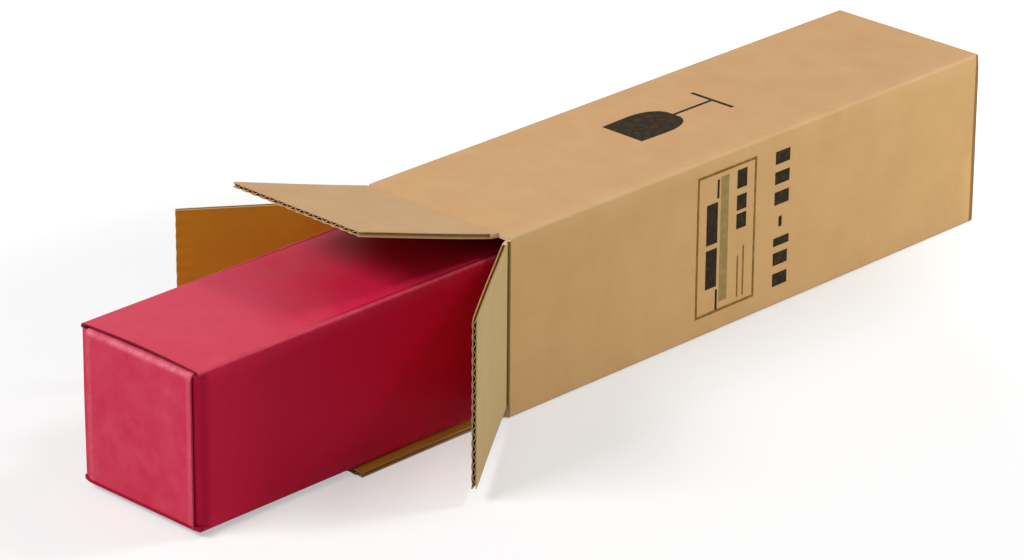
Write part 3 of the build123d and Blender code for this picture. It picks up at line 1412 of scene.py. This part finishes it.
@dataclass
class CartonLid:
    """Tuck lid: an end panel hinged at its bottom fold, and the tongue under the top panel."""

    pivot_x: float = -404.05
    pivot_z: float = 4.05
    carton_x: float = -403.0
    low: float = 3.3
    width: float = 78.5
    board: float = 1.0
    face_x: float = -404.8
    fold_z: float = 89.4
    fold_radius: float = 2.6
    clearance: float = 0.6
    # Tongue: its length, its droop in degrees, its corners' radius, how it arches between its
    # sides, how much of that its tip loses, and how low it lies.
    tongue: float = 18.0
    droop: float = 6.0
    corner: float = 10.0
    arch: float = 0.25
    arch_loss: float = 0.6
    sink: float = 0.2
    # Panel: how far it is dished, how its right edge curls out, and how it ripples. A ripple's
    # second size is a share of the width.
    dish: float = 0.35
    curl: float = 0.3
    slack: float = 0.12
    ripples: Patches = Patches(41, (18, 1 / 3))
    # Wear in the margins and along the score beside the right one, rub wear with a painted
    # highlight along the top fold, painted sheen over the whole lid, and painted shade towards
    # its bottom.
    margin: float = 3.6
    margin_rise: float = 0.8
    margin_wear: float = 0.12
    margin_left: float = 1.6
    score: float = 2.2
    score_width: float = 0.5
    score_wear: float = 0.22
    fold_wear_and_highlight: float = 0.8
    fold_wear_drop: float = 1.3
    fold_wear_reach: float = 1.5
    rubs: Patches = Patches(43, (16, 5), 0.8, 0.3)
    painted_sheen: float = 0.25
    bottom_shade: float = 0.35
    # Bottom fold: its board, its lifted and pulled corners, how far it laps the lid, and how far
    # the stretch that bends reaches past carton and hinge.
    bottom_radius: float = 1.2
    fold_board: float = 0.9
    fold_width: float = 87.4
    corner_start: float = 42.2
    corner_radius: float = 1.8
    corner_pull: float = 1.3
    corner_rise: float = 4.0
    lap: float = 0.8
    bend_start: float = 0.2
    bend_end: float = 1.0
    fold_shade: float = 0.45
    # Divisions of panel with tongue, and of the bottom fold, along and across.
    rows: int = 110
    columns: int = 60
    fold_rows: int = 10
    fold_columns: int = 44

    def lengths(self) -> tuple[float, float, float]:
        """Work out the lengths along the lid's middle.

        Returns:
            Those of panel, fold and tongue.
        """
        radius = self.fold_radius - self.board / 2
        turn = math.radians(90 + self.droop)
        panel = self.fold_z - self.low - self.fold_radius - self.clearance
        return panel, radius * turn, self.tongue - self.fold_radius

    def shape(self, u: float, v: float) -> Vector:
        """Return the middle of the lid's board.

        Args:
            u: Share of its length, from the bottom of the panel to the tongue's tip.
            v: Share of its width.

        Returns:
            The place, in metres.
        """
        panel, arc, tongue = self.lengths()
        s = u * (panel + arc + tongue)
        y = self.width * (v - 0.5)
        middle_x = self.face_x + self.board / 2
        bottom = self.low + self.clearance
        flat = 1 - (2 * v - 1) ** 4
        if s <= panel:
            dish = self.dish * flat * math.sin(math.pi * s / panel)
            curl = self.curl * smooth_step((y + self.width / 2) / self.margin)
            ripple = self.slack * self.ripples.at(s, v)
            return Vector((middle_x + dish + curl + ripple, y, bottom + s)) * MM
        radius = self.fold_radius - self.board / 2
        droop = math.radians(self.droop)
        angle = min((s - panel) / radius, math.pi / 2 + droop)
        rest = max(0.0, s - panel - arc)
        x = middle_x + radius * (1 - math.cos(angle)) + rest * math.cos(droop)
        z = bottom + panel + radius * math.sin(angle) - rest * math.sin(droop)
        near_tip = max(0.0, rest - (tongue - self.corner)) / self.corner
        y *= 1 - (1 - math.sqrt(max(0.0, 1 - near_tip ** 2))) * 2 * self.corner / self.width
        z += self.arch * flat * (1 - self.arch_loss * rest / tongue) - self.sink
        return Vector((x + self.slack + self.curl, y, z)) * MM

    def build(self, made: Finishes) -> bpy.types.Object:
        """Make the lid.

        Args:
            made: The box's materials.

        Returns:
            The finished piece.
        """
        bm = bmesh.new()
        add_sheet(bm, self.rows, self.columns, self.shape, self.board * MM, tuple(CartonSlot))
        wear = bm.verts.layers.float.new("wear")
        crease = bm.verts.layers.float.new("crease")
        painted_sheen_mask = bm.verts.layers.float.new("painted_sheen_mask")
        half = self.width / 2
        for vert in bm.verts:
            y, z = vert.co.y / MM, vert.co.z / MM
            # Rub wear with a painted highlight along the top fold.
            drop = (z - self.fold_z + self.fold_wear_drop) / self.fold_wear_reach
            fold = self.fold_wear_and_highlight * math.exp(-(drop ** 2)) * self.rubs.at(y, z)
            rise = (abs(y) - half + self.margin) / self.margin_rise
            margin = self.margin_wear * smooth_step(rise)
            margin *= self.margin_left if y > 0 else 1.0
            offset = (y + half - self.score) / self.score_width
            score = self.score_wear * math.exp(-(offset ** 2))
            vert[wear] = min(max(fold + margin + score, 0.0), 1.0)
            # Painted shade towards the bottom, and painted sheen over the whole lid.
            vert[crease] = self.bottom_shade * math.exp(self.low - z)
            vert[painted_sheen_mask] = self.painted_sheen
        piece = make_piece("carton_lid_board", bm, [made.crimson, made.grey_back, made.crimson_cut])
        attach(piece, "lid")
        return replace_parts(piece, "carton_lid")

    def fold_shape(self, u: float, v: float) -> Vector:
        """Return the middle of the bottom fold's board.

        Args:
            u: Share of its length, from under the carton up to the lid's panel.
            v: Share of its width.

        Returns:
            The place, in metres.
        """
        radius = self.bottom_radius
        y = self.fold_width * (v - 0.5)
        past = max(0.0, abs(y) - self.corner_start)
        floor = self.low + self.board / 2
        floor += self.corner_radius - math.sqrt(self.corner_radius ** 2 - past ** 2)
        start = self.carton_x + radius
        middle_x = self.face_x + self.slack + self.board / 2
        flat = start - (middle_x + radius)
        arc = radius * math.pi / 2
        s = u * (flat + arc + self.lap)
        if s <= flat:
            return Vector((start - s, y, floor)) * MM
        angle = min((s - flat) / radius, math.pi / 2)
        pulled = smooth_step((abs(y) - self.width / 2) / self.corner_rise)
        pull = self.corner_pull * pulled * math.sin(angle)
        x = middle_x + radius * (1 - math.sin(angle)) + pull
        z = floor + radius * (1 - math.cos(angle)) + max(0.0, s - flat - arc)
        return Vector((x, y, z)) * MM

    def build_fold(self, made: Finishes) -> bpy.types.Object:
        """Make the fold that joins the lid to the carton's bottom panel.

        Args:
            made: The box's materials.

        Returns:
            The finished piece.
        """
        bm = bmesh.new()
        slots = (CartonSlot.FACE, CartonSlot.FACE, CartonSlot.CUT)
        thickness = self.fold_board * MM
        add_sheet(bm, self.fold_rows, self.fold_columns, self.fold_shape, thickness, slots)
        crease = bm.verts.layers.float.new("crease")
        for vert in bm.verts:
            vert[crease] = self.fold_shade
        piece = make_piece("carton_lid_fold", bm, [made.crimson, made.grey_back, made.crimson_cut])
        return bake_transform(piece)


@dataclass
class Print:
    """Ink on the box: the upright glass on top, and a plain framed panel and blocks on the side.

    Places on the top wall are x with y, and places on the right wall are x with z.
    """

    box: ShippingBox
    # How far the ink stands off the wall, how thick it is, and how finely it is cut.
    lift: float = 0.06
    thickness: float = 0.05
    divisions: int = 15
    # Glass, lying along the box: rim, bowl, stem and base, and how far they overlap.
    glass_middle: float = 6.3
    rim_x: float = -43.5
    bowl_foot_x: float = -1.0
    bowl_width: float = 31.0
    rim_width: float = 29.8
    bowl_fullness: float = 0.8
    bowl_segments: int = 60
    stem_width: float = 2.0
    base_x: float = 29.2
    base_length: float = 31.0
    base_width: float = 2.4
    overlap: float = 0.3
    # Side panel's frame and its upright bars, the column of blocks beside it, and the panel's
    # thin rules and washed band.
    frame_low: Place = (-46.4, 11.4)
    frame_high: Place = (1.8, 95.2)
    line: float = 1.6
    bars: tuple[Bar, ...] = (
        ((-38.5, 27.0), (-29.5, 50.0)),
        ((-38.5, 53.0), (-29.5, 77.0)),
        ((-30.3, 12.9), (-28.6, 25.0)),
        ((-30.3, 79.0), (-28.6, 90.0)),
        ((-14.0, 56.0), (-6.0, 65.0)),
        ((-14.0, 67.0), (-6.0, 76.0)),
        ((-14.0, 80.0), (-6.0, 91.0)),
    )
    column: tuple[Bar, ...] = (
        ((17.5, 85.2), (29.5, 92.8)),
        ((17.5, 73.2), (29.5, 80.6)),
        ((17.5, 60.8), (29.5, 68.6)),
        ((21.5, 47.3), (24.2, 53.4)),
        ((17.5, 36.0), (30.5, 41.0)),
        ((17.5, 24.5), (29.5, 32.0)),
        ((17.5, 12.0), (29.5, 19.6)),
    )
    rules: tuple[Bar, ...] = (
        ((-12.8, 15.3), (-11.6, 40.0)),
        ((-8.2, 15.3), (-7.0, 45.0)),
    )
    band: Bar = ((-27.2, 17.0), (-20.8, 91.0))

    def plane(self, wall: Wall) -> Matrix:
        """Return the outside of a wall as a plane whose +Z points outwards.

        Args:
            wall: The top or the right wall.

        Returns:
            The plane's matrix.
        """
        if wall is Wall.TOP:
            return Matrix.Translation((0, 0, self.box.height * MM))
        side = Matrix.Translation((0, -self.box.width / 2 * MM, 0))
        return side @ Matrix.Rotation(math.radians(90), 4, "X")

    def add_bar(self, bm: bmesh.types.BMesh, wall: Wall, bar: Bar) -> list[bmesh.types.BMVert]:
        """Add one filled bar of ink.

        Args:
            bm: The mesh that gets it.
            wall: The wall that it is printed on.
            bar: Its lowest and its highest corner.

        Returns:
            The bar's four vertices.
        """
        low, high = bar
        middle = [(a + b) / 2 * MM for a, b in zip(low, high)]
        size = [(b - a) * MM for a, b in zip(low, high)]
        place = self.plane(wall) @ Matrix.Translation((*middle, 0)) @ Matrix.Diagonal((*size, 1, 1))
        made = bmesh.ops.create_grid(bm, x_segments=1, y_segments=1, size=0.5, matrix=place)
        return made["verts"]

    def add_frame(self, bm: bmesh.types.BMesh) -> None:
        """Add the panel's frame, which is a bar with its middle taken out.

        Args:
            bm: The mesh that gets it.
        """
        verts = self.add_bar(bm, Wall.RIGHT, (self.frame_low, self.frame_high))
        faces = list({face for vert in verts for face in vert.link_faces})
        bmesh.ops.inset_region(
            bm, faces=faces, thickness=self.line * MM, use_boundary=True, use_even_offset=True
        )
        bmesh.ops.delete(bm, geom=faces, context="FACES")

    def add_bowl(self, bm: bmesh.types.BMesh) -> None:
        """Add the glass's bowl: half an oval towards the stem, drawn out straight to the rim.

        Args:
            bm: The mesh that gets it.
        """
        half = self.bowl_width / 2
        reach = (self.bowl_foot_x - self.rim_x) / 2
        made = bmesh.ops.create_circle(bm, cap_ends=True, radius=1.0, segments=self.bowl_segments)
        for vert in made["verts"]:
            share = abs(vert.co.y)
            wide = half * share ** self.bowl_fullness + self.stem_width / 2 * (1 - share)
            vert.co = Vector((reach * vert.co.x, math.copysign(wide, vert.co.y), 0)) * MM
        for place, side in ((0.0, -1), (reach - self.overlap, 1)):
            bmesh.ops.bisect_plane(
                bm, geom=bm.verts[:] + bm.edges[:] + bm.faces[:], dist=MERGE * MM,
                plane_co=(place * MM, 0, 0), plane_no=(side, 0, 0), clear_outer=True,
            )
        middle = [edge for edge in bm.edges if all(abs(v.co.x) < ROOM * MM for v in edge.verts)]
        geom = bmesh.ops.extrude_edge_only(bm, edges=middle)["geom"]
        for vert in verts_of(geom):
            vert.co = Vector((-reach * MM, vert.co.y * self.rim_width / self.bowl_width, 0))
        centre = Vector(((self.rim_x + reach) * MM, self.glass_middle * MM, 0))
        place = self.plane(Wall.TOP) @ Matrix.Translation(centre)
        bmesh.ops.transform(bm, matrix=place, verts=bm.verts)

    def lay_down(
        self, bm: bmesh.types.BMesh, name: str, wall: Wall, ink: bpy.types.Material
    ) -> bpy.types.Object:
        """Cut the flat shapes finely, lay them on the sunken wall and give them their thickness.

        Args:
            bm: Flat shapes.
            name: The piece's name.
            wall: The wall that they are printed on.
            ink: Their material.

        Returns:
            The finished piece.
        """
        outwards = self.plane(wall).to_3x3() @ Vector((0, 0, 1))
        for axis in (0, 1 if wall is Wall.TOP else 2):
            places = [vert.co[axis] / MM for vert in bm.verts]
            slice_along(bm, axis, evenly(min(places), max(places), self.divisions))
        for vert in bm.verts:
            vert.co += self.box.sag(vert.co) + outwards * self.lift * MM
        bmesh.ops.solidify(bm, geom=bm.faces[:], thickness=self.thickness * MM)
        piece = make_piece(name, bm, [ink])
        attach(piece, "box")
        return piece

    def build_glass(self, made: Finishes) -> bpy.types.Object:
        """Make the wine glass that marks fragile goods, drawn lying along the box.

        Args:
            made: The box's materials.

        Returns:
            The finished piece.
        """
        bm = bmesh.new()
        self.add_bowl(bm)
        middle, stem, base = self.glass_middle, self.stem_width / 2, self.base_length / 2
        foot, far = self.bowl_foot_x - self.overlap, self.base_x + self.base_width
        self.add_bar(bm, Wall.TOP, ((foot, middle - stem), (self.base_x, middle + stem)))
        self.add_bar(bm, Wall.TOP, ((self.base_x, middle - base), (far, middle + base)))
        return self.lay_down(bm, "print_glass", Wall.TOP, made.ink)

    def build_side(self, made: Finishes) -> list[bpy.types.Object]:
        """Make the framed panel of plain bars, and the column of plain blocks beside it.

        Args:
            made: The box's materials.

        Returns:
            The dark, the pale and the washed piece.
        """
        pieces = []
        for name, bars, ink in (
            ("print_side_dark", self.bars + self.column, made.ink),
            ("print_side_pale", self.rules, made.pale_ink),
            ("print_side_band", (self.band,), made.wash),
        ):
            bm = bmesh.new()
            for bar in bars:
                self.add_bar(bm, Wall.RIGHT, bar)
            if bars is self.rules:
                self.add_frame(bm)
            pieces.append(self.lay_down(bm, name, Wall.RIGHT, ink))
        return pieces


@dataclass(frozen=True)
class Lamp:
    """Soft rectangular light. Places and sizes are in metres, and power is in watts."""

    name: str
    place: tuple[float, float, float]
    target: tuple[float, float, float]
    width: float
    height: float
    power: float

    def build(self) -> None:
        """Hang the light and point it at its target."""
        light = bpy.data.lights.new(self.name, "AREA")
        light.shape = "RECTANGLE"
        light.size = self.width
        light.size_y = self.height
        light.energy = self.power
        lamp = bpy.data.objects.new(self.name, light)
        bpy.context.scene.collection.objects.link(lamp)
        lamp.location = self.place
        lamp.visible_camera = False
        look = Vector(self.target) - Vector(self.place)
        lamp.rotation_euler = look.to_track_quat("-Z", "Y").to_euler()


@dataclass
class Stage:
    """Pale floor, soft lights and the camera.

    The main light hangs over the mouth's end, and two weaker ones beyond the far end.
    """

    floor_size: float = 12.0
    floor_colour: str = "#C2C2C2"
    # Strength of the white that only the camera sees on the floor, near the part. It grows to 1
    # between two distances from a middle, in metres.
    floor_glow: float = 0.43
    glow_centre: tuple[float, float, float] = (-0.25, -0.05, 0.0)
    glow_start: float = 0.30
    glow_end: float = 0.62
    sky: float = 0.285
    # Camera's place in millimetres, and its own right and up.
    camera_place: tuple[float, float, float] = (-1829.8, -1635.4, 1060.7)
    camera_right: tuple[float, float, float] = (0.69690, -0.71712, 0.00766)
    camera_up: tuple[float, float, float] = (0.27875, 0.28069, 0.91843)
    lens: float = 167.17
    sensor: float = 36.0
    sight: float = 50.0
    lamps: tuple[Lamp, ...] = (
        Lamp("left", (-1.97, 0.53, 1.76), (-0.25, 0, 0.06), 1.5, 0.75, 47.0),
        Lamp("right", (1.08, -0.71, 1.74), (-0.15, 0, 0.05), 0.35, 0.35, 11.5),
        Lamp("far_right", (1.05, -0.88, 0.27), (-0.05, -0.05, 0.06), 0.6, 0.3, 10.4),
    )

    def build_floor(self) -> bpy.types.Object:
        """Make the floor, whose plain matt paper shows white where no shadow falls.

        Returns:
            The floor, kept out of the part.
        """
        material, tree, place = start_material("floor_paper")
        reach = {0: place, 1: self.glow_centre}
        away = add_node(tree, "VectorMath", {"operation": "DISTANCE"}, reach)
        reach = {"Value": away, "From Min": self.glow_start, "From Max": self.glow_end}
        smooth = {"interpolation_type": "SMOOTHSTEP"}
        glow = add_node(tree, "MapRange", smooth, {**reach, "To Min": self.floor_glow})
        seen = add_node(tree, "LightPath").outputs["Is Camera Ray"]
        shown = add_node(tree, "Math", {"operation": "MULTIPLY"}, {0: seen, 1: glow})
        finish_material(material, {
            "Base Color": linear(self.floor_colour), "Roughness": 0.9, "Specular IOR Level": 0.1,
            "Emission Color": (1, 1, 1, 1), "Emission Strength": shown,
        })
        bm = bmesh.new()
        bmesh.ops.create_grid(bm, x_segments=2, y_segments=2, size=self.floor_size / 2)
        floor = make_piece("floor", bm, [material])
        return floor

    def build_world(self) -> None:
        """Make a plain soft sky that the camera sees as white."""
        world = bpy.data.worlds.new("studio")
        bpy.context.scene.world = world
        world.use_nodes = True
        tree = world.node_tree
        ray = add_node(tree, "LightPath").outputs
        rays = {0: ray["Is Camera Ray"], 1: ray["Is Glossy Ray"]}
        seen = add_node(tree, "Math", {"operation": "MAXIMUM"}, rays)
        rays = {0: seen, 1: ray["Is Transmission Ray"]}
        shown = add_node(tree, "Math", {"operation": "MAXIMUM"}, rays)
        levels = {"Value": shown, "To Min": self.sky, "To Max": 1.0}
        strength = add_node(tree, "MapRange", inputs=levels)
        set_inputs(tree, tree.nodes["Background"], {"Color": (1, 1, 1, 1), "Strength": strength})

    def build_camera(self) -> None:
        """Set the camera where the photograph was taken from."""
        camera = bpy.data.cameras.new("camera")
        camera.sensor_fit = "HORIZONTAL"
        camera.sensor_width = self.sensor
        camera.lens = self.lens
        camera.clip_end = self.sight
        eye = bpy.data.objects.new("camera", camera)
        bpy.context.scene.collection.objects.link(eye)
        right = Vector(self.camera_right).normalized()
        up = Vector(self.camera_up)
        up = (up - right * up.dot(right)).normalized()
        back = right.cross(up)
        turn = Matrix((right, up, back)).transposed().to_4x4()
        eye.matrix_world = Matrix.Translation(Vector(self.camera_place) * MM) @ turn
        bpy.context.scene.camera = eye

    def build(self) -> None:
        """Set the whole stage."""
        self.build_floor()
        self.build_world()
        for lamp in self.lamps:
            lamp.build()
        self.build_camera()
        bpy.context.scene.view_settings.view_transform = "Standard"


def main() -> None:
    """Build the box, its carton, the print and the stage."""
    logging.basicConfig(level=logging.INFO, format="%(name)s: %(message)s")
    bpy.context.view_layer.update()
    made = Finishes()
    box = ShippingBox()
    for piece in box.build(made):
        LOG.info("box piece %s", piece.name)
    carton = InnerCarton()
    LOG.info("carton piece %s", carton.build(made).name)
    lid = CartonLid()
    for piece in (lid.build(made), lid.build_fold(made)):
        LOG.info("lid piece %s", piece.name)
    printed = Print(box)
    LOG.info("print %s", printed.build_glass(made).name)
    for piece in printed.build_side(made):
        LOG.info("print %s", piece.name)
    Stage().build()


if __name__ == "__main__":
    main()
